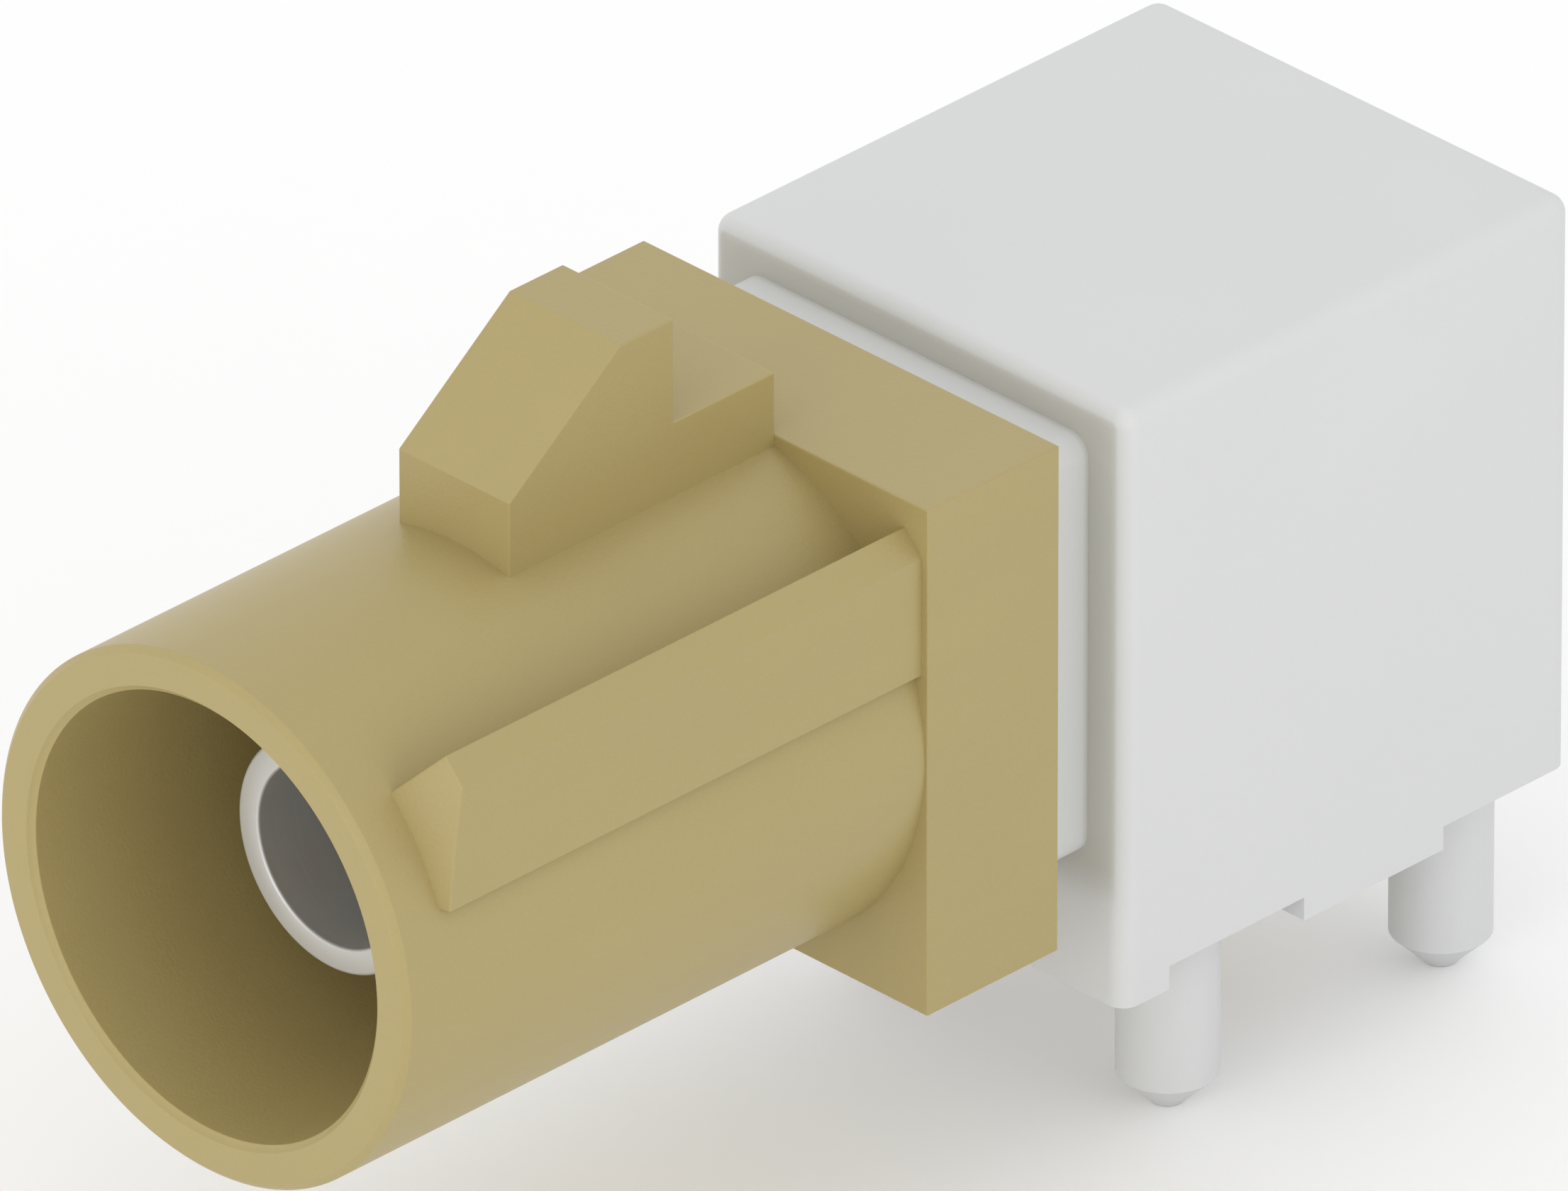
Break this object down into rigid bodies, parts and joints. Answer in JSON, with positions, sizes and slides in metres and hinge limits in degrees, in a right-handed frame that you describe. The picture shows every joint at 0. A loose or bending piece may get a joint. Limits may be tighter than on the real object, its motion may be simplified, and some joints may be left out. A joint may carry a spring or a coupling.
{
  "type": "right-angle coaxial plug for a circuit board",
  "caption": "Right-angle coaxial board plug: beige coded plastic shroud with a latch nose on a square die-cast metal block with solder posts.",
  "frame": {"origin": "centre of the four board posts, on the plane where the block seats on the board", "axes": "+Z away from the board, -Y out of the mouth of the shroud along the contact axis, +X across"},
  "size_m": [0.0086, 0.0239, 0.0158],
  "materials": {
    "shroud_plastic": "moulded, matt, beige",
    "plated_casting": "die-cast zinc alloy with a matt tin plating, off-white",
    "plated_contact": "turned brass, white bronze plating",
    "insulator": "fluoropolymer, off-white",
    "gold_contact": "turned brass, gold plated",
    "plated_cap": "pressed disc, matt tin plating"
  },
  "bodies": {
    "root": {"housing": "shroud_plastic", "body": "plated_casting", "outer_contact": "plated_contact", "front_insulator": "insulator", "centre_contact": "gold_contact", "tail_insulator": "insulator", "tail_pin": "gold_contact", "rear_cap": "plated_cap"}
  },
  "joints": []
}
